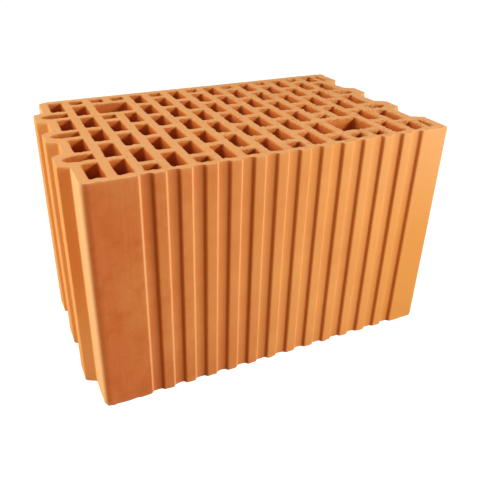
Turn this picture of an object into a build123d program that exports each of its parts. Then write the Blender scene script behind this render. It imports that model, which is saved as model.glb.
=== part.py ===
from build123d import *
import os

os.makedirs("parts", exist_ok=True)

# A vertically perforated clay block for a one-leaf wall, in millimetres.
# X runs along the wall from the tongue end to the groove end, Y through the wall and Z up.

# Body, between the land planes of the two ends and between the two ribbed wall faces
block_length = 373
block_width = 240
block_height = 238
tongue_corner_radius = 8
groove_corner_radius = 3
overrun = 5

# Tongues of the left end, and the gaps they keep inside the grooves of the next block
tongue_count = 3
tongue_pitch = 63
tongue_reach = 10.5
tongue_root_width = 37
tongue_tip_width = 25
groove_end_gap = 1.5
groove_mouth_gap = 2
groove_floor_gap = 1
joint_radius = 2

# Perforation: columns of holes across the wall, every other column moved by half a row
full_rows = 5
stagger_share = 0.5
hole_width = 15
hole_corner_cut = 1.2
face_shell = 8.5
tongue_end_shell = 9.5
groove_end_shell = 11
column_web = 8.5
cross_web = 7.5

# Grip holes, each as wide as two columns
grip_columns = 2
first_grip_column = 2
grip_radius = 2.5

# Pointed slots that lighten the tongues and the lands between the grooves
slot_width = 14.5
slot_taper = 9
slot_taper_shares = (0, 0.65, 1)
slot_width_shares = (1, 0.65, 0.2)
tongue_nose_wall = 7
land_nose_wall = 10
slot_web = 6.75

# Narrow holes of the two corner lands at the groove end
corner_hole_length = 22.5
corner_hole_web = 5.5
corner_hole_wall = 10.5

# Plaster grooves of both wall faces, with a plain band left at each end
rib_groove_width = 13
rib_floor_width = 9
rib_groove_depth = 3
rib_lip_radius = 0.8
rib_floor_radius = 1.2
tongue_end_band = 47.7
bands_in_columns = 2

# Ends of the body, placed so that the block with its tongues is centred on the origin
left_land = (tongue_reach - block_length) / 2
right_land = left_land + block_length
front_face = -block_width / 2
rear_face = block_width / 2
tongue_tip = left_land - tongue_reach
groove_depth = tongue_reach + groove_end_gap
groove_floor = right_land - groove_depth
groove_mouth_width = tongue_root_width + 2 * groove_mouth_gap
groove_floor_width = tongue_tip_width + 2 * groove_floor_gap
joint_places = [tongue_pitch * (i - (tongue_count - 1) / 2) for i in range(tongue_count)]
land_places = [place + tongue_pitch / 2 for place in joint_places[:-1]]

# Column spacing, from the left end shell to the shell behind the grooves
perforated_length = groove_floor - left_land - tongue_end_shell - groove_end_shell
column_count = round((perforated_length + column_web) / (hole_width + column_web))
column_pitch = (perforated_length - hole_width) / (column_count - 1)
first_column = left_land + tongue_end_shell + hole_width / 2
column_places = [first_column + i * column_pitch for i in range(column_count)]

# Row spacing: the full rows and one staggered part row fill the width between the face shells
row_pitch = (block_width - 2 * face_shell + cross_web) / (full_rows + stagger_share)
hole_length = row_pitch - cross_web
inner_front = front_face + face_shell
inner_rear = rear_face - face_shell


def column_spans(column):
    """Front and rear end of each hole of a column: even columns start with the part row."""
    first = inner_front
    if column % 2 == 0:
        first = inner_front + stagger_share * row_pitch
    spans = [(first + i * row_pitch, first + i * row_pitch + hole_length) for i in range(full_rows)]
    if column % 2 == 0:
        return [(inner_front, first - cross_web)] + spans
    return spans + [(spans[-1][1] + cross_web, inner_rear)]


def cut_back(spans, band):
    """Leave a web between each hole and a grip hole's band, and drop the hole the grip replaces."""
    pieces = []
    for low, high in spans:
        if low < band[0] - cross_web:
            pieces.append((low, min(high, band[0] - cross_web)))
        if high > band[1] + cross_web:
            pieces.append((max(low, band[1] + cross_web), high))
    return pieces


def upright_hole(left, right, low, high):
    """One upright hole, given by its four sides in plan."""
    with Locations(((left + right) / 2, (low + high) / 2)):
        Rectangle(right - left, high - low)


def pointed_slot(inner, outer, place):
    """A slot that narrows in two steps to a blunt nose at its outer end."""
    taper = slot_taper
    if outer < inner:
        taper = -slot_taper
    points = [(inner, slot_width / 2)]
    for along, across in zip(slot_taper_shares, slot_width_shares):
        points.append((outer - (1 - along) * taper, across * slot_width / 2))
    mirrored = [(x, -y) for x, y in reversed(points)]
    Polygon(*[(x, place + y) for x, y in points + mirrored], align=None)


def trapezoid(base, top, base_width, top_width, place, across_y=True):
    """Points of a tongue, an end groove or a plaster groove, from its base line to its top line."""
    points = [(base, -base_width / 2), (top, -top_width / 2), (top, top_width / 2), (base, base_width / 2)]
    if across_y:
        return [(x, place + y) for x, y in points]
    return [(place + y, x) for x, y in points]


def face_groups(sketch):
    """Outline points on the two wall faces, in groups from the tongue end to the groove end."""
    return sketch.vertices().filter_by(lambda v: abs(v.Y) > rear_face - rib_middle).group_by(Axis.X)


# Places of the plaster grooves, in step with the columns of holes
first_rib = left_land + tongue_end_band + rib_groove_width / 2
rib_places = [first_rib + i * column_pitch for i in range(column_count - bands_in_columns)]
rib_middle = rib_groove_depth / 2

# The first grip takes the last full row, the second one the first full row at the other end
second_grip_column = column_count - first_grip_column - grip_columns
first_band = column_spans(first_grip_column + 1)[full_rows - 1]
second_band = column_spans(second_grip_column + 1)[1]
grips = [(first_grip_column, first_band), (second_grip_column, second_band)]

with BuildPart() as clay_block:
    with BuildSketch() as outline:
        with Locations(((left_land + right_land) / 2, 0)):
            Rectangle(block_length, block_width)
        for place in joint_places:
            tongue = trapezoid(left_land, tongue_tip, tongue_root_width, tongue_tip_width, place)
            Polygon(*tongue, align=None)
            groove = trapezoid(right_land, groove_floor, groove_mouth_width, groove_floor_width, place)
            Polygon(*groove, align=None, mode=Mode.SUBTRACT)
        for place in rib_places:
            for face, inward in ((front_face, 1), (rear_face, -1)):
                floor = face + inward * rib_groove_depth
                rib_groove = trapezoid(face, floor, rib_groove_width, rib_floor_width, place, across_y=False)
                Polygon(*rib_groove, align=None, mode=Mode.SUBTRACT)
        fillet(outline.vertices().filter_by(lambda v: abs(v.Y) < inner_rear), joint_radius)
        rib_floors = outline.vertices().filter_by(lambda v: inner_rear < abs(v.Y) < rear_face - rib_middle)
        fillet(rib_floors, rib_floor_radius)
        fillet([v for group in face_groups(outline)[1:-1] for v in group], rib_lip_radius)
        fillet(face_groups(outline)[0], tongue_corner_radius)
        fillet(face_groups(outline)[-1], groove_corner_radius)
    extrude(amount=block_height)

    with BuildSketch(Plane.XY.offset(-overrun)) as holes:
        # Inner columns, cut back around the grip holes
        for column in range(1, column_count - 1):
            spans = column_spans(column)
            for grip_column, band in grips:
                if grip_column <= column < grip_column + grip_columns:
                    spans = cut_back(spans, band)
            left = column_places[column] - hole_width / 2
            for low, high in spans:
                upright_hole(left, left + hole_width, low, high)

        # First column: holes between the slots of the tongues
        half_hole = tongue_pitch / 2 - slot_width / 2 - slot_web
        first_left = column_places[0] - hole_width / 2
        first_right = first_left + hole_width
        for place in land_places:
            upright_hole(first_left, first_right, place - half_hole, place + half_hole)
        outer_hole_start = joint_places[-1] + slot_width / 2 + slot_web
        upright_hole(first_left, first_right, inner_front, -outer_hole_start)
        upright_hole(first_left, first_right, outer_hole_start, inner_rear)

        # Last column: a hole behind each groove, and the outer holes
        last_left = column_places[-1] - hole_width / 2
        last_right = last_left + hole_width
        for place in joint_places:
            upright_hole(last_left, last_right, place - half_hole, place + half_hole)
        last_hole_start = joint_places[-1] + half_hole + slot_web
        upright_hole(last_left, last_right, inner_front, -last_hole_start)
        upright_hole(last_left, last_right, last_hole_start, inner_rear)

        # Corner lands: one narrow hole beside the last column
        corner_left = last_right + corner_hole_web
        corner_right = right_land - corner_hole_wall
        upright_hole(corner_left, corner_right, inner_front, inner_front + corner_hole_length)
        upright_hole(corner_left, corner_right, inner_rear - corner_hole_length, inner_rear)
        chamfer(holes.vertices(), hole_corner_cut)

        # Grip holes, and the slots that run into the tongues and the lands
        for grip_column, band in grips:
            left = column_places[grip_column] - hole_width / 2
            right = column_places[grip_column + grip_columns - 1] + hole_width / 2
            with Locations(((left + right) / 2, (band[0] + band[1]) / 2)):
                RectangleRounded(right - left, band[1] - band[0], grip_radius)
        for place in joint_places:
            pointed_slot(first_right, tongue_tip + tongue_nose_wall, place)
        for place in land_places:
            pointed_slot(last_left, right_land - land_nose_wall, place)
    extrude(amount=block_height + 2 * overrun, mode=Mode.SUBTRACT)

clay_block.part.label = "clay_block"
export_step(clay_block.part, "parts/clay_block.step")
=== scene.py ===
# %% [markdown]
# # A perforated clay block, fired and photographed
# A walling block is pressed through a die as one long string of clay, cut to length with a wire, dried and
# fired. This lesson dresses the exact solid of such a block: it reads the plan of the holes from the solid
# and carries that plan up the height again as a finer surface, with worn edges, wire burrs and a sandy
# finish.

# %% Load the exact solid
import math

import bpy
import numpy as np
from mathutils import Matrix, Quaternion, Vector
from mathutils.geometry import delaunay_2d_cdt


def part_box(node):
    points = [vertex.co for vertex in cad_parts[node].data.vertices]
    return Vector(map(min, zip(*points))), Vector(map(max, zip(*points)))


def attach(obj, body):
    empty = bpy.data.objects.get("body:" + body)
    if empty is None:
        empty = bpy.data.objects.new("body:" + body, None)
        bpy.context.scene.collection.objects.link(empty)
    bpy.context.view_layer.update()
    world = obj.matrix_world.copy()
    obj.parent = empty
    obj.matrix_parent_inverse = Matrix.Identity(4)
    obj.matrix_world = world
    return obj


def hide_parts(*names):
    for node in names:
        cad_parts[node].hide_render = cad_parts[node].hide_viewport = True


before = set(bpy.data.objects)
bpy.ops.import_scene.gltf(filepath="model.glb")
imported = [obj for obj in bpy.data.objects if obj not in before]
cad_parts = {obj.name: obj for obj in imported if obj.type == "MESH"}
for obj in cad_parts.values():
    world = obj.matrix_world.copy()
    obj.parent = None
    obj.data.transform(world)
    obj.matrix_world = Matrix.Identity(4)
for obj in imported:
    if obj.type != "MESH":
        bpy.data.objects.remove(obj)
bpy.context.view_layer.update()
mm = 0.001
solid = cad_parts["clay_block"]
low_corner, high_corner = (np.array(corner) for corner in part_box("clay_block"))
block_height = high_corner[2]
print("solid block, mm:", np.round((high_corner - low_corner) / mm, 1))

# %% [markdown]
# ## The plan: one outline and many holes
# Every wall of the block runs straight up, so the whole shape is in its plan. The plan could be drawn again
# by hand, but the solid already holds it: on the flat upper bed face, an edge that only one triangle uses
# lies on the rim of the block or of a hole. Walking direction is kept, so the clay is always on the left.

# %% Rim edges of the upper bed face


def bed_face_rim(node, height):
    """Plan points and directed rim edges of the flat face at a height.

    A side shared by two triangles is walked once each way, so a side with no opposite lies on the rim.
    """
    flat_within = 0.01 * mm
    merge_step = 0.001
    mesh = node.data
    mesh.calc_loop_triangles()
    places = np.empty(3 * len(mesh.vertices))
    mesh.vertices.foreach_get("co", places)
    places = places.reshape(-1, 3)
    corners = np.empty(3 * len(mesh.loop_triangles), dtype=np.int32)
    mesh.loop_triangles.foreach_get("vertices", corners)
    corners = corners.reshape(-1, 3)
    flat = corners[np.all(np.abs(places[corners, 2] - height) < flat_within, axis=1)]
    steps = np.round(places[:, :2] / (merge_step * mm)).astype(np.int64)
    plan, merged = np.unique(steps, axis=0, return_inverse=True)
    flat = merged.reshape(-1)[flat]
    sides = np.concatenate([flat[:, [0, 1]], flat[:, [1, 2]], flat[:, [2, 0]]])
    there = sides[:, 0] * len(plan) + sides[:, 1]
    back = sides[:, 1] * len(plan) + sides[:, 0]
    return plan * merge_step * mm, sides[~np.isin(there, back)]


plan_points, rim_edges = bed_face_rim(solid, block_height)
print("rim edges:", len(rim_edges))

# %% Put the rim points in walking order


def walking_order(edges):
    """Closed loops of point numbers, found by following next-point links in steps that double each time.

    The smallest number met on the way names the loop, and the count of links to that point gives the order.
    """
    names, links = np.unique(edges, return_inverse=True)
    links = links.reshape(-1, 2)
    here = np.arange(len(names))
    following = np.empty_like(here)
    following[links[:, 0]] = links[:, 1]
    doublings = int(math.log2(len(names))) + 1
    head = here.copy()
    hop = following.copy()
    for _ in range(doublings):
        head = np.minimum(head, head[hop])
        hop = hop[hop]
    ahead = np.where(head == here, 0, 1)
    hop = np.where(head == here, here, following)
    for _ in range(doublings):
        ahead = ahead + ahead[hop]
        hop = hop[hop]
    order = np.lexsort((-ahead, head))
    starts = np.flatnonzero(np.diff(head[order], prepend=-1))
    return [names[part] for part in np.split(order, starts[1:])]


loops = [plan_points[loop] for loop in walking_order(rim_edges)]
print("loops in the plan:", len(loops))

# %% Tell the outline from the holes


def loop_area(corners):
    """Half the sum of x y' - y x' over the sides of a loop: positive for the outline, negative for a hole."""
    after = np.roll(corners, -1, axis=0)
    return np.sum(corners[:, 0] * after[:, 1] - corners[:, 1] * after[:, 0]) / 2


areas = np.array([loop_area(loop) for loop in loops])
outline_loop = loops[int(np.argmax(areas))]
hole_loops = [loop for loop, area in zip(loops, areas) if area < 0]
print("area inside the outline, square mm:", round(areas.max() / mm ** 2))

# %% [markdown]
# ## Finer loops with soft corners
# Wet clay never leaves a die with knife-sharp corners. Each loop is drawn very finely, blurred a little along
# its length, which rounds the corners, and then cut into points. Points are spent where the line bends, so
# the straight runs stay light. The sides of the plaster grooves are blurred more than the rest, because the
# photograph shows them soft.

# %% Blur a loop
groove_zone = 4 * mm
end_zone = 25 * mm


def blurred(line, spacing, softness):
    """Closed line of complex numbers, blurred by a bell curve that acts on its Fourier terms."""
    waves = np.fft.fftfreq(len(line), d=spacing)
    return np.fft.ifft(np.fft.fft(line) * np.exp(-2 * (math.pi * waves * softness) ** 2))


def softer_lips(drawn, spacing, track):
    """Track with softer groove sides, where the plan blurred by 2.5 mm leans.

    It takes a line blurred by 1 mm there, or by 1.2 mm on the sides that look to the tongue end.
    """
    slow = blurred(drawn, spacing, 2.5 * mm)
    heading = np.roll(slow, -1) - np.roll(slow, 1)
    lean = np.clip(4 * np.abs(heading.imag) / np.abs(heading), 0, 1)
    near_face = np.abs(drawn.imag) > high_corner[1] - groove_zone
    on_face = near_face & (np.abs(drawn.real) < high_corner[0] - end_zone)
    to_tongues = blurred(drawn, spacing, 1.2 * mm)
    to_grooves = blurred(drawn, spacing, 1.0 * mm)
    softer = np.where(heading.imag < 0, to_tongues, to_grooves)
    return track + lean * on_face * (softer - track)


print("grooves lie within", groove_zone / mm, "mm of a wall face")

# %% Cut a loop into points


def soft_loop(corners, softness, step, points_per_bend):
    """Points on a blurred closed line, with the outward direction in two more columns.

    An even number of points is spread evenly over length / step + bend x points_per_bend. Outward is to the
    right of the walking direction of a line blurred four times as much, so it turns slowly round corners.
    """
    drawn_step = 0.2 * mm
    closed = np.concatenate([corners, corners[:1]])
    line = closed[:, 0] + 1j * closed[:, 1]
    run = np.concatenate([[0.0], np.cumsum(np.abs(np.diff(line)))])
    count = int(run[-1] / drawn_step)
    fine = run[-1] / count
    drawn = np.interp(np.arange(count) * fine, run, line)
    track = softer_lips(drawn, fine, blurred(drawn, fine, softness))
    heading = np.roll(track, -1) - track
    bend = np.abs(np.angle(heading / np.roll(heading, 1)))
    effort = np.concatenate([[0.0], np.cumsum(fine / step + points_per_bend * bend)])
    number = 2 * max(int(round(effort[-1] / 2)), 6)
    at = np.interp(np.arange(number) * effort[-1] / number, effort, np.arange(count + 1))
    slow = blurred(drawn, fine, max(4 * softness, 1.6 * mm))
    outward = -1j * (np.roll(slow, -1) - np.roll(slow, 1))
    outward /= np.abs(outward)
    both = [np.interp(at, np.arange(count + 1), np.append(each, each[0])) for each in (track, outward)]
    return np.column_stack([part for each in both for part in (each.real, each.imag)])


outline = soft_loop(outline_loop, softness=0.25 * mm, step=3.0 * mm, points_per_bend=2.6)
holes = [soft_loop(loop, softness=0.75 * mm, step=1.5 * mm, points_per_bend=1.4) for loop in hole_loops]
print("outline points:", len(outline), "hole points:", sum(map(len, holes)), "holes:", len(holes))

# %% Links of many loops at once


def join_loops(parts):
    """All points of some loops in one array, with the next point, the loop number and the way outward."""
    joined = np.concatenate(parts)
    sizes = np.array([len(part) for part in parts])
    first = np.repeat(np.cumsum(sizes) - sizes, sizes)
    following = first + (np.arange(len(joined)) - first + 1) % np.repeat(sizes, sizes)
    return joined[:, :2], following, np.repeat(np.arange(len(parts)), sizes), joined[:, 2:]


rim_points, rim_next, _, rim_outward = join_loops([outline])
hole_points, hole_next, hole_part, hole_outward = join_loops(holes)
print("walls to carry up:", 1 + len(holes))

# %% [markdown]
# ## Unevenness
# Nothing on a fired block is quite straight. A sum of waves with random directions and phases gives a smooth
# random height for any point in space. It is made from a fixed seed, so every run gives the same block, and
# shrinking one direction draws the waves out along the press direction.

# %% A smooth random field


def uneven(points, seed, wavelength, stretch=(1.0, 1.0, 1.0), terms=40):
    """Sum of cosines of random direction and phase over points (..., 3), with a spread of about one.

    Each wave is between 0.6 and 1.6 times the wavelength, and stretch draws the field out along an axis.
    """
    rng = np.random.default_rng(seed)
    heading = rng.normal(size=(terms, 3))
    heading /= np.linalg.norm(heading, axis=1, keepdims=True)
    heading /= wavelength * rng.uniform(0.6, 1.6, size=(terms, 1))
    phase = rng.uniform(0, 2 * math.pi, terms)
    flat = points.reshape(-1, 3) / np.array(stretch)
    total = np.cos(2 * math.pi * flat @ heading.T + phase).sum(axis=1)
    return (total * math.sqrt(2 / terms)).reshape(points.shape[:-1])


print("sample of the field:", np.round(uneven(np.zeros((1, 3)), 1, 10 * mm), 3))

# %% [markdown]
# ## Walls carried up the height
# A wall is a loop in plan repeated at a row of heights, so it is a grid: along the loop and up the height.
# Close to the two cut faces the rows come closer together and step back from the edge, which gives the worn
# arris. A modifier could bevel the edges instead, but then every edge would be worn by the same amount.

# %% Rows of heights


def rows_from_top(depths):
    """Heights of rows at the given depths in millimetres below the upper cut face, lowest row first."""
    return block_height - np.array(sorted(depths, reverse=True)) * mm


whole = block_height / mm
near_cut = [0, 0.3, 1.0, 2.6, 7]
between_cuts = list(range(16, 226, 14))
outer_heights = rows_from_top(near_cut + between_cuts + [whole - each for each in near_cut])
mouth_heights = rows_from_top([0, 0.3, 0.8, 1.8, 3.5, 6.5])
shaft_heights = rows_from_top([13, 24, 44, 90, 160, whole - 6, whole - 1, whole])
print("rows:", len(outer_heights), "outside,", len(mouth_heights) + len(shaft_heights), "in each hole")

# %% Carry a plan up the rows


def carry_up(points, heights):
    """Grid of places (rows, points, 3): the same plan at each height."""
    grid = np.empty((len(heights), len(points), 3))
    grid[:, :, :2] = points
    grid[:, :, 2] = heights[:, None]
    return grid


def below_cut(heights):
    """Distance of each row from the nearer cut face, as a column."""
    return np.minimum(heights, block_height - heights)[:, None]


def arris(depth, radius):
    """How far a worn edge steps back: radius at the cut face, falling with depth like a quarter round."""
    return radius * np.clip(1 - depth / (1.6 * radius), 0, 1) ** 2.2


outer_grid = carry_up(rim_points, outer_heights)
print("outer grid:", outer_grid.shape)

# %% Outer walls: a worn arris, small chips and long waves of the press
along_press = (1, 1, 9)
outer_depth = below_cut(outer_heights)
worn_radius = np.clip((0.7 + 0.25 * uneven(outer_grid, 11, 9 * mm)) * mm, 0.3 * mm, 1.4 * mm)
chip_size = np.clip(uneven(outer_grid, 12, 4.5 * mm) - 1.1, 0, 1.5) * 0.9 * mm
chips = chip_size * np.exp(-outer_depth / (2.2 * mm))
waviness = 0.10 * mm * (uneven(outer_grid, 13, 30 * mm, along_press) - 2.5)
outer_push = np.clip(waviness, -0.6 * mm, 0) - arris(outer_depth, worn_radius) - chips
outer_grid[:, :, :2] += outer_push[:, :, None] * rim_outward
print("deepest chip on the outside, mm:", round(-outer_push.min() / mm, 2))

# %% A lip of clay that the wire left over the groove ends of the far wall face
lip_half_length = 172 * mm
lip_thickness = 2.2 * mm
groove_drop = np.clip(high_corner[1] - 0.3 * mm - outer_grid[:, :, 1], 0, None)
ends_clear = np.abs(rim_points[:, 0] - (low_corner[0] + high_corner[0]) / 2) < lip_half_length
on_far_face = (rim_points[:, 1] > high_corner[1] - groove_zone) & ends_clear
lip_fade = np.exp(-((block_height - outer_heights) / lip_thickness) ** 2)[:, None]
far_lip = groove_drop * lip_fade * on_far_face
outer_grid[:, :, 1] += far_lip
print("lip over the groove ends, mm:", round(far_lip.max() / mm, 2))

# %% [markdown]
# ## Holes
# The mouth of a hole is the part that is seen, so it gets all the points of its loop and close rows. Deeper
# down every other point is enough. The wire leaves small teeth on the far side of a mouth and lumps on the
# near side, and it drags a skin of clay over the short holes of the front row and the slots in the lands.

# %% Size and place of every hole
middles = np.array([part[:, :2].min(axis=0) + part[:, :2].max(axis=0) for part in holes]) / 2
reach = np.array([np.ptp(part[:, :2], axis=0) for part in holes])
in_front_row = middles[:, 1] < low_corner[1] + 25 * mm
is_part_hole = (reach[:, 1] < 20 * mm) & (reach[:, 0] > 12 * mm)
is_land_slot = (reach[:, 0] > 25 * mm) & (middles[:, 0] > 160 * mm)
is_dragged = in_front_row & is_part_hole
print("short holes of the front row:", int(is_dragged.sum()), "land slots:", int(is_land_slot.sum()))

# %% How far the wire drags a skin over each hole
rng = np.random.default_rng(21)
towards_grooves = np.clip(0.5 + 2.2 * middles[:, 0], 0, 1)
skin_share = np.where(is_dragged, 0.02 + 0.50 * towards_grooves ** 2, 0.03)
skin_share = skin_share * rng.uniform(0.7, 1.3, len(holes))
skin_share[is_land_slot] = 0.75
mouth_left = np.where(is_land_slot, 0.26, 0.36)[:, None] * np.array([1, 0]) + np.array([0, 0.36])
drift = rng.uniform((-0.10, -0.12), (0.14, 0.05), size=(len(holes), 2))
drift[is_land_slot] = (0.15, 0)
print("holes with a dragged skin:", int((skin_share > 0.12).sum()))

# %% Shape the walls of all holes


def hole_walls(points, part, outward, heights):
    """Grid of hole walls: waves of the press, a worn arris, teeth and lumps at the mouth, and the skin.

    Teeth and lumps are the high parts of random fields that fade with depth. The skin pulls the plan towards
    a smaller oval by a share that is largest a little below the mouth and fades with depth.
    """
    grid = carry_up(points, heights)
    depth = below_cut(heights)
    share = np.clip(0.5 + points[:, 0] / (high_corner[0] - low_corner[0]), 0, 1)
    far_side = np.clip(-outward[:, 1], 0, 1)
    near_side = np.clip(outward[:, 1], 0, 1)
    tooth = (0.10 + 0.65 * far_side + 0.30 * near_side + 0.80 * share ** 2) * mm
    teeth = tooth * np.clip(uneven(grid, 22, 2.6 * mm), -0.6, 1.6) * np.exp(-depth / (1.5 * mm))
    lump = (0.10 + 0.60 * near_side + 0.95 * share ** 2) * mm
    lumps = lump * np.clip(uneven(grid, 25, 6.5 * mm) - 0.3, -0.3, 1.6) * np.exp(-depth / (3 * mm))
    waves = 0.16 * mm * uneven(grid, 23, 22 * mm, along_press)
    worn = np.clip(0.45 + 0.2 * uneven(grid, 24, 8 * mm), 0.2, 1.0) * mm
    push = waves + teeth + lumps - arris(depth, worn)
    grid[:, :, :2] += push[:, :, None] * outward
    from_middle = points - middles[part]
    angle = np.arctan2(from_middle[:, 1] / reach[part, 1], from_middle[:, 0] / reach[part, 0])
    oval = reach[part] * (mouth_left[part] * np.column_stack([np.cos(angle), np.sin(angle)]) + drift[part])
    under = block_height - heights
    fade = (1 - 0.7 * np.exp(-under / (0.8 * mm))) * np.exp(-(under / (6 * mm)) ** 2)
    grid[:, :, :2] += fade[:, None, None] * skin_share[part][:, None] * (oval - from_middle)
    return grid


mouth_grid = hole_walls(hole_points, hole_part, hole_outward, mouth_heights)
shaft_grid = hole_walls(hole_points[::2], hole_part[::2], hole_outward[::2], shaft_heights)
print("grids:", mouth_grid.shape, shaft_grid.shape)

# %% [markdown]
# ## Bed faces
# The two cut faces are flat plates full of holes. Blender's constrained Delaunay triangulation fills the
# space between given loops, so the last ring of every wall becomes the edge of the bed face and nothing has
# to be welded. Scattered points inside the plate carry the slight unevenness that the wire leaves, and a few
# pits where a grain was pulled out.

# %% Scatter points on the webs


def nearest_rim(points, rims, outward):
    """Distance of each point to its nearest rim point, negative outside the clay."""
    apart = points[:, None, :] - rims[None, :, :]
    nearest = np.argmin((apart ** 2).sum(axis=2), axis=1)
    offset = points - rims[nearest]
    inside = (offset * outward[nearest]).sum(axis=1) < 0
    return np.where(inside, 1, -1) * np.linalg.norm(offset, axis=1)


top_rims = np.concatenate([outer_grid[-1, :, :2], mouth_grid[-1, :, :2]])
top_outward = np.concatenate([rim_outward, hole_outward])
spacing = 5.2 * mm
rim_margin = 2.0 * mm
rng = np.random.default_rng(31)
columns = np.arange(low_corner[0], high_corner[0], spacing)
lines = np.arange(low_corner[1], high_corner[1], spacing)
scatter = np.stack(np.meshgrid(columns, lines), axis=-1).reshape(-1, 2)
scatter = scatter + rng.uniform(-0.3, 0.3, scatter.shape) * spacing
scatter = scatter[nearest_rim(scatter, top_rims, top_outward) > rim_margin]
print("points on the webs:", len(scatter))

# %% Small pits, more of them towards the groove end
pit_count = 110
pit_sides = 8
pit_clearance = 2.6 * mm
pit_radius = rng.uniform(0.6, 1.6, pit_count) * mm
pits = rng.uniform(low_corner[:2], high_corner[:2], size=(4000, 2))
pit_spread = 0.38
chance = 0.15 + np.clip(0.5 + pits[:, 0] / pit_spread, 0, 1) ** 2
pits = pits[rng.uniform(0, 1, len(pits)) < chance]
pits = pits[nearest_rim(pits, top_rims, top_outward) > rim_margin][:pit_count]
turn = np.arange(pit_sides) * math.pi / 4
circle = np.column_stack([np.cos(turn), np.sin(turn)])
pit_rings = [(0.55, 0.85), (1.0, 0.0)]
ring_plans = [pits[:, None] + share * pit_radius[:, None, None] * circle for share, _ in pit_rings]
pit_plan = np.concatenate([plan.reshape(-1, 2) for plan in ring_plans] + [pits])
ring_drops = [np.repeat(pit_radius * drop, pit_sides) for _, drop in pit_rings]
pit_drop = np.concatenate(ring_drops + [pit_radius])
apart = np.linalg.norm(scatter[:, None] - pits[None], axis=2).min(axis=1)
scatter = scatter[apart > pit_clearance]
print("pits:", len(pits))

# %% Fill a bed face between its loops


def fill_between(rings, sizes, extra_points):
    """Triangles of the plate between rings of the given sizes, using the extra points inside it."""
    keep_holes_open = 2
    merge_within = 1e-8
    plan = [Vector(point) for point in np.concatenate([rings, extra_points]).tolist()]
    loops = [loop.tolist() for loop in np.split(np.arange(len(rings)), np.cumsum(sizes)[:-1])]
    filled = delaunay_2d_cdt(plan, [], loops, keep_holes_open, merge_within)
    source = np.array([origin[0] for origin in filled[3]])
    return source[np.array(filled[2])]


outer_rows, outer_size = outer_grid.shape[:2]
mouth_rows, mouth_size = mouth_grid.shape[:2]
shaft_rows, shaft_size = shaft_grid.shape[:2]
ring_sizes = np.array([len(part) for part in [outline] + holes])
lower_sizes = np.concatenate([ring_sizes[:1], ring_sizes[1:] // 2])
extra = np.concatenate([scatter, pit_plan])
top_faces = fill_between(top_rims, ring_sizes, extra)
bottom_rims = np.concatenate([outer_grid[0, :, :2], shaft_grid[0, :, :2]])
bottom_faces = fill_between(bottom_rims, lower_sizes, np.empty((0, 2)))
print("bed face triangles:", len(top_faces), len(bottom_faces))

# %% Level of the upper bed face
bed_points = np.concatenate([top_rims, extra])
bed_spots = np.column_stack([bed_points, np.full(len(bed_points), block_height)])
sag = (0.22 + 0.05 * uneven(bed_spots, 41, 45 * mm) + 0.03 * uneven(bed_spots, 42, 9 * mm)) * mm
sag = np.clip(sag, 0, None)
sag[len(bed_points) - len(pit_plan):] += pit_drop
ring_sag = sag[:outer_size + mouth_size]
outer_grid[-3:, :, 2] -= ring_sag[:outer_size]
mouth_grid[-3:, :, 2] -= ring_sag[outer_size:]
extra_places = np.column_stack([extra, block_height - sag[outer_size + mouth_size:]])
print("wire marks, mm:", round(ring_sag.min() / mm, 2), "to", round(ring_sag.max() / mm, 2))

# %% [markdown]
# ## One closed mesh
# The grids, the two plates and the scattered points are numbered one after the other in one list of
# vertices, so walls and plates share their edge points and the block is closed like the real one.

# %% Wall faces of a grid


def wall_faces(first, rows, size, following):
    """Four-sided faces between each row and the next, walked so that they look away from the clay."""
    here = np.arange(size)
    rows_up = first + size * np.arange(rows - 1)[:, None]
    corners = [rows_up + here, rows_up + following, rows_up + size + following, rows_up + size + here]
    return np.stack(corners, axis=-1).reshape(-1, 4)


def joining_faces(first_coarse, first_fine, fine_next):
    """Triangles between a coarse row and a fine row above it with twice the points, three a coarse step."""
    fine = np.arange(0, len(fine_next), 2)
    after = fine_next[fine_next[fine]]
    high = first_fine + fine
    middle = first_fine + fine_next[fine]
    high_after = first_fine + after
    low = first_coarse + fine // 2
    low_after = first_coarse + after // 2
    three = [(low, low_after, middle), (low, middle, high), (low_after, high_after, middle)]
    return np.concatenate([np.column_stack(each) for each in three])


first_mouth = outer_rows * outer_size
first_shaft = first_mouth + mouth_rows * mouth_size
first_extra = first_shaft + shaft_rows * shaft_size
quads = np.concatenate([wall_faces(0, outer_rows, outer_size, rim_next),
                        wall_faces(first_mouth, mouth_rows, mouth_size, hole_next),
                        wall_faces(first_shaft, shaft_rows, shaft_size, hole_next[hole_next[::2]] // 2)])
joints = joining_faces(first_extra - shaft_size, first_mouth, hole_next)
print("wall faces:", len(quads), "joining triangles:", len(joints))

# %% Number the plates
top_ring = np.concatenate([first_mouth - outer_size + np.arange(outer_size),
                           first_shaft - mouth_size + np.arange(mouth_size)])
bottom_ring = np.concatenate([np.arange(outer_size), first_shaft + np.arange(shaft_size)])
upper = np.concatenate([top_ring, first_extra + np.arange(len(extra))])[top_faces]
lower = bottom_ring[bottom_faces][:, ::-1]
print("triangles in all:", 2 * len(quads) + len(joints) + len(upper) + len(lower))

# %% Make the block
grids = [each.reshape(-1, 3) for each in (outer_grid, mouth_grid, shaft_grid)]
places = np.concatenate(grids + [extra_places])
faces = [face for part in (quads, joints, upper, lower) for face in part.tolist()]
block_mesh = bpy.data.meshes.new("fired_block")
block_mesh.from_pydata(places.tolist(), [], faces)
block_mesh.polygons.foreach_set("use_smooth", np.ones(len(block_mesh.polygons), dtype=bool))
fired_block = bpy.data.objects.new("fired_block", block_mesh)
bpy.context.scene.collection.objects.link(fired_block)
print("vertices:", len(block_mesh.vertices), "faces:", len(block_mesh.polygons))

# %% Shade the plates flat and the walls softly


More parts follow.
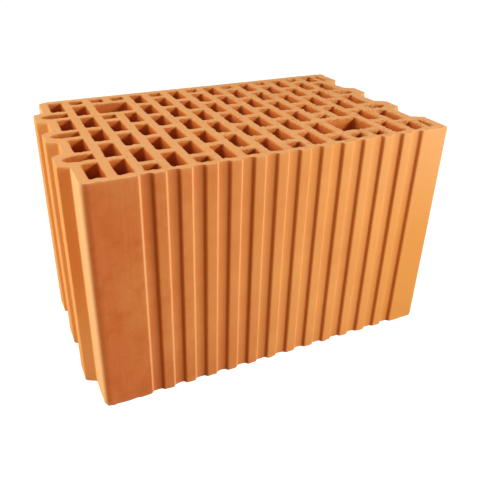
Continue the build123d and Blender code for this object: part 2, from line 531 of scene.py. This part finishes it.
def spread(faces, directions):
    """Sum of face directions at each vertex, one column at a time."""
    corners = faces.reshape(-1)
    each = np.repeat(directions, faces.shape[1], axis=0)
    return np.column_stack([np.bincount(corners, each[:, axis], len(places)) for axis in range(3)])


def quad_directions(faces):
    """Direction of each four-sided face, as long as twice its area: the cross product of its diagonals."""
    return np.cross(places[faces[:, 2]] - places[faces[:, 0]], places[faces[:, 3]] - places[faces[:, 1]])


def triangle_directions(faces):
    """Direction of each triangle, as long as twice its area: the cross product of two sides."""
    return np.cross(places[faces[:, 1]] - places[faces[:, 0]], places[faces[:, 2]] - places[faces[:, 0]])


wall_side = spread(quads, quad_directions(quads)) + spread(joints, triangle_directions(joints))
plate_side = spread(upper, triangle_directions(upper)) + spread(lower, triangle_directions(lower))
on_plate = np.linalg.norm(plate_side, axis=1) > 0
shading = np.where(on_plate[:, None], plate_side, wall_side)
shading /= np.linalg.norm(shading, axis=1, keepdims=True)
block_mesh.normals_split_custom_set_from_vertices(shading.tolist())
print("vertices on the plates:", int(on_plate.sum()))

# %% Give the block its place in the frame
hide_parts("clay_block")
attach(fired_block, "root")
print("the dressed block stands for:", solid.name)

# %% [markdown]
# ## Marks for the finish
# The colour follows the shape: worn edges are paler, and the holes, the grooves and the tongue end get
# painted shade and painted light where shade and light fall on them. Such places could be painted by
# hand. Here each is worked out from where a vertex lies and which way it looks, and stored as a mark: one
# number per vertex that the material reads by name.

# %% Cut faces, worn edges and depth in the holes


def mark(name, values):
    """Store one number per vertex under a name that the material reads."""
    layer = block_mesh.attributes.new(name, "FLOAT", "POINT")
    layer.data.foreach_set("value", np.ascontiguousarray(values, dtype=np.float32))


from_cut = np.minimum(places[:, 2], block_height - places[:, 2])
in_hole = np.zeros(len(places))
in_hole[first_mouth:first_extra] = 1
mark("cut_face", on_plate.astype(float))
mark("worn_edge", (1 - on_plate) * np.exp(-from_cut / (1.2 * mm)))
# Depth in a hole, which the material turns into painted shade that deepens downwards.
mark("hole_depth", in_hole * (1 - np.exp(-from_cut / (12 * mm))))
mark("hole_rim", in_hole * np.exp(-from_cut / (1.8 * mm)))
print("vertices in the holes:", int(in_hole.sum()))

# %% Far walls and their tops, end walls, and holes under a dragged skin: places for painted light and shade
far_facing = in_hole * np.clip(-1.3 * shading[:, 1] - 0.2, 0, 1)
# Far walls, where the material paints light near the mouth towards the groove end.
mark("far_wall", far_facing)
# Tops of the far walls, for crumbs mixed with painted shade.
mark("far_wall_near_cut", far_facing * np.exp(-from_cut / (4.5 * mm)))
# End walls that look to the tongue end, for painted shade.
mark("end_facing", in_hole * np.clip(-shading[:, 0], 0, 1))
dragged = np.zeros(len(places))
dragged[first_mouth:first_shaft] = np.tile(is_dragged[hole_part], mouth_rows)
dragged[first_shaft:first_extra] = np.tile(is_dragged[hole_part[::2]], shaft_rows)
# Painted shade in the short holes of the front row, below the very mouth.
mark("short_hole_painted_shade", dragged * (1 - np.exp(-from_cut / (0.8 * mm))))
print("vertices under a dragged skin:", int(dragged.sum()))

# %% [markdown]
# ## Marks on the plaster grooves
# Plaster keys into the shallow grooves of the wall faces. In the photograph the groove sides that look to
# the tongue end lie in deep red shade and so does the floor beside them, while the lips of the other sides
# are pale in the light. Lamps give only part of that, so marks pick out floors, sides and lips by depth
# below the wall face and by the way a vertex looks. The material paints shade on the floors and on those
# sides, a shadow on the floor beside them, highlights on the other lips, and shade on lips near the lamp.

# %% Wall faces, groove floors and groove sides
below_face = high_corner[1] - np.abs(places[:, 1])
on_wall_face = np.clip(2 - below_face / (3.2 * mm), 0, 1) * (1 - on_plate)
clear_of_tongues = places[:, 0] > low_corner[0] + 22 * mm
clear_of_corners = clear_of_tongues & (places[:, 0] < high_corner[0] - 10 * mm)
ribbed = on_wall_face * clear_of_corners
sunk = np.clip(below_face / (2.6 * mm), 0, 1)
on_floor = np.clip(2 * sunk - 1, 0, 1)
mark("wall_face", on_wall_face)
# Painted shade on the groove floors.
mark("groove_floor_painted_shade", ribbed * on_floor)
# Painted shade on the groove sides that look to the tongue end, deeper towards the floor.
mark("flank_painted_shade", ribbed * np.clip((-shading[:, 0] - 0.15) / 0.5, 0, 1) * (0.6 + 0.4 * sunk))
print("vertices on the ribbed faces:", int((ribbed > 0.5).sum()))

# %% Painted shadow on the floors beside the shaded sides, and painted highlights on the other lips
shade_reach = 6.5 * mm
side_spots = np.unique(np.round(places[(ribbed > 0.5) & (shading[:, 0] < -0.4), 0] / mm)) * mm
next_side = side_spots[np.minimum(np.searchsorted(side_spots, places[:, 0]), len(side_spots) - 1)]
beside = next_side - places[:, 0]
in_shade = np.clip(1 - beside / shade_reach, 0, 1) * (beside >= 0)
# Painted shadow on each groove floor, fading over 6.5 mm from the shaded side to its right.
mark("painted_floor_shadow", ribbed * in_shade * on_floor)
lip_side = ribbed * np.clip((shading[:, 0] - 0.35) / 0.35, 0, 1)
# Painted highlight on the lips that look to the groove end, strongest near the tongues.
mark("lip_painted_highlight", lip_side * np.clip(0.5 - 0.62 * places[:, 0] / high_corner[0], 0.1, 1))
# Painted shade on the same lips, growing towards the groove end, where the front lamp is near.
mark("lamp_lip_painted_shade", lip_side * np.clip(0.3 + places[:, 0] / (150 * mm), 0, 1))
print("places of shaded sides along the wall:", len(side_spots))

# %% [markdown]
# ## Marks on the tongue end
# On the end with the tongues the material paints a highlight on the land at each side of them, shade on
# the turn where a land rounds into the wall face, and shade on the sides of the near tongue. A vertex
# belongs there by its place and by how far it has turned.

# %% Lands, corner turns and the near tongue
tongue_end = (places[:, 0] < low_corner[0] + 20 * mm) * (1 - on_plate)
beside_tongues = np.clip((np.abs(places[:, 1]) - 80 * mm) / (3 * mm), 0, 1)
turning = np.clip(1 - np.abs(-shading[:, 0] - 0.36) / 0.36, 0, 1)
near_tongue = (1 - beside_tongues) * (places[:, 1] < -35 * mm)
# Painted highlight on the lands beside the tongues.
mark("land_painted_highlight", tongue_end * beside_tongues * np.clip((-shading[:, 0] - 0.62) / 0.25, 0, 1))
# Painted shade where a land turns into the wall face.
mark("corner_painted_shade", tongue_end * beside_tongues * turning)
# Painted shade on the sides of the near tongue, deeper towards the top in the material.
mark("tongue_side_painted_shade", tongue_end * near_tongue * np.clip((np.abs(shading[:, 1]) - 0.4) / 0.3, 0, 1))
print("layers on the mesh:", [layer.name for layer in block_mesh.attributes])

# %% [markdown]
# ## Fired clay
# The finish is matte and sandy. Iron makes it red, and where lime or more air reached it in the kiln it turns
# to a paler sand colour. The colour is built up in layers, each laid over the last by a share between 0 and 1
# that comes from a mark, a slow or fine noise, or the place along the block. All of it is read in the
# block's own coordinates, so the pattern stays on the clay from every side.

# %% Nodes for any material


def add_node(tree, kind, **values):
    """New node with its properties set by name."""
    node = tree.nodes.new(kind)
    for name, value in values.items():
        setattr(node, name, value)
    return node


def combine(tree, operation, first, second):
    """Two values joined by an arithmetic operation; either may be a plain number."""
    node = add_node(tree, "ShaderNodeMath", operation=operation)
    for socket, source in zip(node.inputs, (first, second)):
        if isinstance(source, (int, float)):
            socket.default_value = source
        else:
            tree.links.new(source, socket)
    return node.outputs["Value"]


fired_clay = bpy.data.materials.new("fired_clay_sandy")
fired_clay.use_nodes = True
clay_nodes = fired_clay.node_tree
print("material:", fired_clay.name)

# %% Values in the clay


def noise(vector, scale, detail, roughness):
    """Noise texture value on a vector, with features about 1 / scale metres across."""
    node = add_node(clay_nodes, "ShaderNodeTexNoise")
    node.inputs["Scale"].default_value = scale
    node.inputs["Detail"].default_value = detail
    node.inputs["Roughness"].default_value = roughness
    clay_nodes.links.new(vector, node.inputs["Vector"])
    return node.outputs["Fac"]


def ramp(value, low, high, to_low, to_high):
    """Value moved from one range to another and held inside it."""
    node = add_node(clay_nodes, "ShaderNodeMapRange", clamp=True)
    for name, limit in zip(("From Min", "From Max", "To Min", "To Max"), (low, high, to_low, to_high)):
        node.inputs[name].default_value = limit
    clay_nodes.links.new(value, node.inputs["Value"])
    return node.outputs["Result"]


def times(first, second):
    """Product of two values."""
    return combine(clay_nodes, "MULTIPLY", first, second)


where = add_node(clay_nodes, "ShaderNodeTexCoord").outputs["Object"]
split = add_node(clay_nodes, "ShaderNodeSeparateXYZ")
clay_nodes.links.new(where, split.inputs["Vector"])
along = split.outputs["X"]
height = split.outputs["Z"]
print("places read from:", where.name, "coordinates")

# %% Colours of the clay, and of painted shade and painted highlights
# Red clay of the wall faces, also laid as painted shade on groove floors and on lips near the lamp:
red_clay_and_painted_shade = (0.655, 0.166, 0.039, 1)
orange_clay = (0.86, 0.365, 0.096, 1)
sand_clay = (0.87, 0.425, 0.165, 1)
right_clay = (0.80, 0.325, 0.070, 1)
end_clay = (0.88, 0.345, 0.078, 1)
# Painted highlight on the lands, and painted shade on the near tongue:
painted_land_highlight = (1.0, 0.52, 0.20, 1)
painted_tongue_shade = (0.84, 0.245, 0.048, 1)
# Painted shadow in the grooves, and a dark red for red clouds, torn cut faces and painted shade:
painted_groove_shadow = (0.34, 0.075, 0.014, 1)
dark_red_and_painted_shade = (0.52, 0.085, 0.004, 1)
# Painted highlight on the lips, and painted shade at the hole mouths and deeper down:
painted_lip_highlight = (0.96, 0.52, 0.22, 1)
painted_mouth_shade = (0.68, 0.165, 0.026, 1)
painted_deep_shade = (0.47, 0.050, 0.001, 1)
pale_dust = (0.90, 0.52, 0.23, 1)
dark_grain = (0.42, 0.115, 0.030, 1)
# Dark crumbs, also used as painted shade down the far sides of the holes:
crumbs_and_painted_shade = (0.30, 0.070, 0.010, 1)
# Both printed colours are painted: deep shade in the holes and the highlight on the lands.
print("reddest clay:", painted_deep_shade[:3], "palest:", painted_land_highlight[:3])

# %% Wall faces: red near the tongues, orange further along, sandy high up at the groove end


def layer_over(share, under, over):
    """One colour laid over another by a share; each colour is a socket or four plain numbers."""
    node = add_node(clay_nodes, "ShaderNodeMix", data_type="RGBA", blend_type="MIX")
    clay_nodes.links.new(share, node.inputs["Factor"])
    for name, source in (("A", under), ("B", over)):
        socket = [each for each in node.inputs if each.name == name and each.type == "RGBA"][0]
        if isinstance(source, tuple):
            socket.default_value = source
        else:
            clay_nodes.links.new(source, socket)
    return [each for each in node.outputs if each.type == "RGBA"][0]


slow_noise = noise(where, scale=14, detail=3.0, roughness=0.6)
patches = ramp(slow_noise, 0.3, 0.7, -0.16, 0.16)
along_wall = combine(clay_nodes, "ADD", ramp(along, -0.16, 0.05, 0.04, 0.90), patches)
front_colour = layer_over(ramp(along_wall, 0, 1, 0, 1), red_clay_and_painted_shade, orange_clay)
front_colour = layer_over(ramp(along, 0.11, 0.17, 0, 1), front_colour, right_clay)
high_right = times(ramp(height, 0.12, 0.23, 0, 0.8), ramp(along, 0.05, 0.19, 0, 1))
front_colour = layer_over(high_right, front_colour, sand_clay)
print("wall faces: 4 clays")

# %% Cut faces and ends, joined with the wall faces


def marked(name):
    """Value of a mark, smoothly spread over the faces between the vertices."""
    return add_node(clay_nodes, "ShaderNodeAttribute", attribute_name=name).outputs["Fac"]


cut_face = marked("cut_face")
wall_face = marked("wall_face")
not_cut = combine(clay_nodes, "SUBTRACT", 1.0, cut_face)
sandy_colour = layer_over(ramp(slow_noise, 0.35, 0.7, 0.25, 0), sand_clay, orange_clay)
sandy_colour = layer_over(times(not_cut, 0.85), sandy_colour, end_clay)
colour = layer_over(wall_face, sandy_colour, front_colour)
print("cut faces and ends: 3 clays")

# %% Streaks of the die and red clouds near the tongues
squeezed = add_node(clay_nodes, "ShaderNodeMapping")
squeezed.inputs["Scale"].default_value = (1, 1, 0.03)
clay_nodes.links.new(where, squeezed.inputs["Vector"])
streaks = noise(squeezed.outputs["Vector"], scale=420, detail=4.0, roughness=0.55)
colour = layer_over(times(ramp(streaks, 0.42, 0.68, 0, 0.05), not_cut), colour, pale_dust)
near_tongues = ramp(along, -0.14, -0.04, 1, 0)
clouds = noise(where, scale=60, detail=3.0, roughness=0.6)
red_clouds = ramp(clouds, 0.47, 0.72, 0, 0.36)
colour = layer_over(times(red_clouds, times(wall_face, near_tongues)), colour, dark_red_and_painted_shade)
print("streaks run up the block")

# %% Tongue end: painted shade at the corner turn and near tongue, painted highlight on the lands
colour = layer_over(times(marked("corner_painted_shade"), 0.4), colour, dark_red_and_painted_shade)
colour = layer_over(times(marked("land_painted_highlight"), 0.9), colour, painted_land_highlight)
tongue_shade_share = times(ramp(height, 0.05, 0.13, 0, 1), marked("tongue_side_painted_shade"))
colour = layer_over(tongue_shade_share, colour, painted_tongue_shade)
print("tongue end: 3 layers")

# %% Torn bed face, grain and worn edges
torn = noise(where, scale=330, detail=2.0, roughness=0.6)
torn_share = times(cut_face, ramp(along, -0.08, 0.12, 0.1, 1))
colour = layer_over(times(ramp(torn, 0.55, 0.70, 0, 0.45), torn_share), colour, pale_dust)
colour = layer_over(times(ramp(torn, 0.42, 0.30, 0, 0.55), torn_share), colour, dark_red_and_painted_shade)
grain_scale = 900
grain = noise(where, grain_scale, detail=2.0, roughness=0.7)
colour = layer_over(ramp(grain, 0.56, 0.80, 0, 0.16), colour, pale_dust)
colour = layer_over(ramp(grain, 0.44, 0.22, 0, 0.20), colour, dark_grain)
colour = layer_over(times(marked("worn_edge"), 0.35), colour, pale_dust)
print("grain about", round(1 / grain_scale / mm, 1), "mm")

# %% Grooves: painted shade on floors, sides and lips near the lamp, painted shadow, painted highlights on lips
colour = layer_over(times(marked("groove_floor_painted_shade"), 0.12), colour, red_clay_and_painted_shade)
colour = layer_over(times(marked("flank_painted_shade"), 0.95), colour, dark_red_and_painted_shade)
# Painted shadow beside the shaded sides, wider near the tongues.
painted_shadow_share = times(marked("painted_floor_shadow"), ramp(along, -0.13, 0.04, 0.72, 0.28))
colour = layer_over(painted_shadow_share, colour, painted_groove_shadow)
# Painted shade on the lips near the front lamp.
colour = layer_over(times(marked("lamp_lip_painted_shade"), 0.38), colour, red_clay_and_painted_shade)
# Painted highlight on the lips that look to the groove end.
colour = layer_over(times(marked("lip_painted_highlight"), 0.8), colour, painted_lip_highlight)
print("grooves: 5 layers")

# %% [markdown]
# ## Inside the holes
# The holes get painted shade that deepens going down. There is more of it on the end walls that look to the
# tongue end and in the short holes of the front row. Towards the groove end the far walls keep the sandy
# colour near the mouth, which paints the light that falls there. Where the wire tore the rim, dark crumbs
# hang on it, and down the far side the crumbs are mixed with painted shade.

# %% Holes: painted shade, deeper downwards, and painted light on the far walls near the mouth
hole_depth = marked("hole_depth")
# Painted light on the far walls near the mouth towards the groove end: the painted shade is left off there.
far_wall_painted_light = times(marked("far_wall"), ramp(along, -0.08, 0.08, 0, 0.58))
far_wall_painted_light = times(far_wall_painted_light, ramp(hole_depth, 0.2, 0.5, 1, 0))
outside_painted_light = combine(clay_nodes, "SUBTRACT", 1.0, far_wall_painted_light)
# Painted shade at the mouths and deeper down the shafts.
colour = layer_over(times(ramp(hole_depth, 0, 0.22, 0, 0.85), outside_painted_light), colour, painted_mouth_shade)
colour = layer_over(ramp(hole_depth, 0.35, 1, 0, 0.9), colour, painted_deep_shade)
# Painted shade on the end walls that look to the tongue end, strongest near the tongues.
end_wall_painted_shade = times(ramp(hole_depth, 0.1, 0.5, 0.12, 0.5), marked("end_facing"))
end_wall_painted_shade = times(end_wall_painted_shade, ramp(along, -0.12, 0.0, 1, 0.25))
colour = layer_over(end_wall_painted_shade, colour, painted_deep_shade)
# Painted shade in the short holes of the front row.
colour = layer_over(times(times(marked("short_hole_painted_shade"), 0.55), outside_painted_light), colour, dark_red_and_painted_shade)
print("holes: 4 layers")

# %% Crumbs at the rims, and crumbs mixed with painted shade down the far sides
crumbs = noise(where, scale=620, detail=2.0, roughness=0.6)
rim_crumbs = times(ramp(crumbs, 0.58, 0.70, 0, 1), ramp(marked("hole_rim"), 0.5, 0.95, 0, 1))
# Crumbs mixed with painted shade down the far sides, left off where light is painted.
side_crumbs_and_shade = times(ramp(crumbs, 0.40, 0.60, 0.15, 1.0), marked("far_wall_near_cut"))
side_crumbs_and_shade = times(side_crumbs_and_shade, outside_painted_light)
to_right = ramp(along, -0.12, 0.10, 0.3, 1)
crumb_and_shade_share = times(combine(clay_nodes, "MAXIMUM", rim_crumbs, side_crumbs_and_shade), to_right)
colour = layer_over(crumb_and_shade_share, colour, crumbs_and_painted_shade)
shader = clay_nodes.nodes["Principled BSDF"]
clay_nodes.links.new(colour, shader.inputs["Base Color"])
print("clay colours mixed")

# %% [markdown]
# ## Relief of the clay
# Sand grains are too small and too many for the mesh, so a bump gives them: fine sand everywhere, faint
# streaks of the die, and coarser tearing on the cut faces. The gloss is very low, as on dry clay.

# %% Relief and roughness
sandy = noise(where, scale=1500, detail=3.0, roughness=0.7)
relief = combine(clay_nodes, "ADD", times(sandy, 0.6), times(streaks, 0.08))
relief = combine(clay_nodes, "ADD", relief, times(times(torn, torn_share), 2.0))
bump = add_node(clay_nodes, "ShaderNodeBump")
bump.inputs["Strength"].default_value = 0.36
bump.inputs["Distance"].default_value = 0.35 * mm
clay_nodes.links.new(relief, bump.inputs["Height"])
clay_nodes.links.new(bump.outputs["Normal"], shader.inputs["Normal"])
clay_nodes.links.new(ramp(sandy, 0.3, 0.7, 0.82, 0.98), shader.inputs["Roughness"])
shader.inputs["Specular IOR Level"].default_value = 0.08
block_mesh.materials.append(fired_clay)
print("nodes in the clay:", len(clay_nodes.nodes))

# %% [markdown]
# ## The studio
# The block stands on a white floor in front of nothing. One soft lamp stands near the groove end in front, so
# the ribbed face brightens to the right and the left side of every groove catches it. A larger one stands
# out beyond the tongue end and lights that end and the top. The floor and the room show white to the camera
# and give little light themselves, so the white doesn't wash out the clay.

# %% White floor


def seen_directly(tree):
    """One for rays from the camera, a mirror or a glass, which all see the white of the studio."""
    light_path = add_node(tree, "ShaderNodeLightPath")
    seen = combine(tree, "MAXIMUM", light_path.outputs["Is Camera Ray"], light_path.outputs["Is Glossy Ray"])
    return combine(tree, "MAXIMUM", seen, light_path.outputs["Is Transmission Ray"])


floor_size = 12.0
floor_mesh = bpy.data.meshes.new("studio_floor")
floor_corners = floor_size / 2 * np.array([[-1, -1, 0], [1, -1, 0], [1, 1, 0], [-1, 1, 0]])
floor_mesh.from_pydata(floor_corners.tolist(), [], [[0, 1, 2, 3]])
studio_floor = bpy.data.objects.new("studio_floor", floor_mesh)
bpy.context.scene.collection.objects.link(studio_floor)
print("floor:", floor_size, "m")

# %% Paint of the floor: grey to the block, white with a soft shadow to the camera
floor_paint = bpy.data.materials.new("white_floor")
floor_paint.use_nodes = True
floor_nodes = floor_paint.node_tree
plain_grey = floor_nodes.nodes["Principled BSDF"]
plain_grey.inputs["Base Color"].default_value = (0.70, 0.70, 0.70, 1)
plain_grey.inputs["Roughness"].default_value = 1.0
plain_grey.inputs["Specular IOR Level"].default_value = 0.0
soft_shadow = add_node(floor_nodes, "ShaderNodeBsdfDiffuse")
soft_shadow.inputs["Color"].default_value = (0.30, 0.30, 0.30, 1)
white = add_node(floor_nodes, "ShaderNodeEmission")
white.inputs["Strength"].default_value = 0.96
shown = add_node(floor_nodes, "ShaderNodeAddShader")
floor_nodes.links.new(soft_shadow.outputs["BSDF"], shown.inputs[0])
floor_nodes.links.new(white.outputs["Emission"], shown.inputs[1])
floor_mix = add_node(floor_nodes, "ShaderNodeMixShader")
floor_nodes.links.new(seen_directly(floor_nodes), floor_mix.inputs["Fac"])
floor_nodes.links.new(plain_grey.outputs["BSDF"], floor_mix.inputs[1])
floor_nodes.links.new(shown.outputs["Shader"], floor_mix.inputs[2])
floor_nodes.links.new(floor_mix.outputs["Shader"], floor_nodes.nodes["Material Output"].inputs["Surface"])
floor_mesh.materials.append(floor_paint)
print("paint:", floor_paint.name)

# %% Light of the room
room_light = bpy.data.worlds.new("white_room")
room_light.use_nodes = True
bpy.context.scene.world = room_light
room_nodes = room_light.node_tree
dim = room_nodes.nodes["Background"]
dim.inputs["Color"].default_value = (1, 1, 1, 1)
dim.inputs["Strength"].default_value = 0.17
bright = add_node(room_nodes, "ShaderNodeBackground")
bright.inputs["Color"].default_value = (1, 1, 1, 1)
room_mix = add_node(room_nodes, "ShaderNodeMixShader")
room_nodes.links.new(seen_directly(room_nodes), room_mix.inputs["Fac"])
room_nodes.links.new(dim.outputs["Background"], room_mix.inputs[1])
room_nodes.links.new(bright.outputs["Background"], room_mix.inputs[2])
room_nodes.links.new(room_mix.outputs["Shader"], room_nodes.nodes["World Output"].inputs["Surface"])
print("room:", room_light.name)

# %% Lamps


def lamp(name, place, aim, size, power):
    """Soft square lamp that faces a point."""
    light = bpy.data.lights.new(name, "AREA")
    light.size = size
    light.energy = power
    holder = bpy.data.objects.new(name, light)
    holder.location = place
    holder.rotation_euler = (Vector(aim) - Vector(place)).to_track_quat("-Z", "Y").to_euler()
    bpy.context.scene.collection.objects.link(holder)


lamp("front_lamp", place=(0.72, -0.95, 0.70), aim=(0.05, -0.10, 0.12), size=0.28, power=12.1)
lamp("end_lamp", place=(-1.10, 0.35, 0.92), aim=(-0.05, 0, 0.16), size=1.40, power=21.0)
print("lamps:", len(bpy.data.lights))

# %% [markdown]
# ## The camera
# The camera stands at the height and distance that the photograph's straight edges give. The lens is a mild
# wide angle, and the picture is shifted a little because the photograph was cut off centre.

# %% Camera of the photograph
picture = 480
film_width = 36
focal_pixels = 558.0
eye = Vector((-0.23873, -0.52419, 0.41927))
aim = Vector((-0.00353, 0.0, 0.11755))
roll = 0.01177
shift_pixels = (15.52, -24.51)
camera = bpy.data.cameras.new("photo_camera")
camera.sensor_width = film_width
camera.lens = film_width * focal_pixels / picture
camera.shift_x = shift_pixels[0] / picture
camera.shift_y = shift_pixels[1] / picture
viewer = bpy.data.objects.new("photo_camera", camera)
viewer.location = eye
viewer.rotation_mode = "QUATERNION"
viewer.rotation_quaternion = (aim - eye).to_track_quat("-Z", "Y") @ Quaternion((0, 0, 1), roll)
bpy.context.scene.collection.objects.link(viewer)
bpy.context.scene.camera = viewer
bpy.context.scene.view_settings.view_transform = "Standard"
print("lens, mm:", round(camera.lens, 1))
